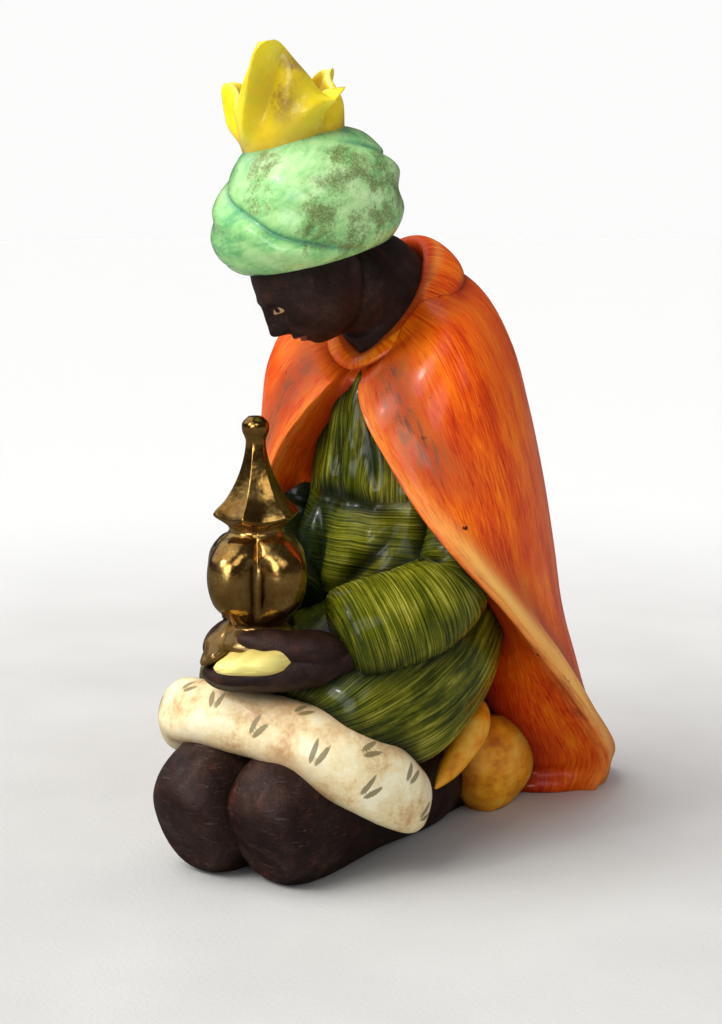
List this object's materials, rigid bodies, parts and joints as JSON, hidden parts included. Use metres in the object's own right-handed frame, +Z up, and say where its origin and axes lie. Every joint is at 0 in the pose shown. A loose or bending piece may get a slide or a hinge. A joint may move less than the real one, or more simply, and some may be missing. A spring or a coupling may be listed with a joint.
{
  "type": "nativity wise man figurine",
  "caption": "Glazed earthenware figurine of a kneeling wise man in cloak, turban and crown, holding out a lidded casket.",
  "frame": {"origin": "on the flat underside, midway between the figure's two sides, under its waist", "axes": "+Z up; the figure faces -Y; its left hand is at +X"},
  "size_m": [0.073, 0.123, 0.1717],
  "materials": {
    "orange_glaze": "glossy glaze, brushed",
    "green_glaze": "glossy glaze, brushed",
    "cream_glaze": "satin glaze",
    "mint_glaze": "glossy glaze",
    "yellow_glaze": "glossy glaze",
    "ochre_glaze": "satin glaze",
    "brown_slip": "matt slip",
    "gold_lustre": "mirror-like brown gold lustre",
    "bisque": "unglazed"
  },
  "bodies": {
    "root": {"figurine": "orange_glaze"}
  },
  "joints": []
}
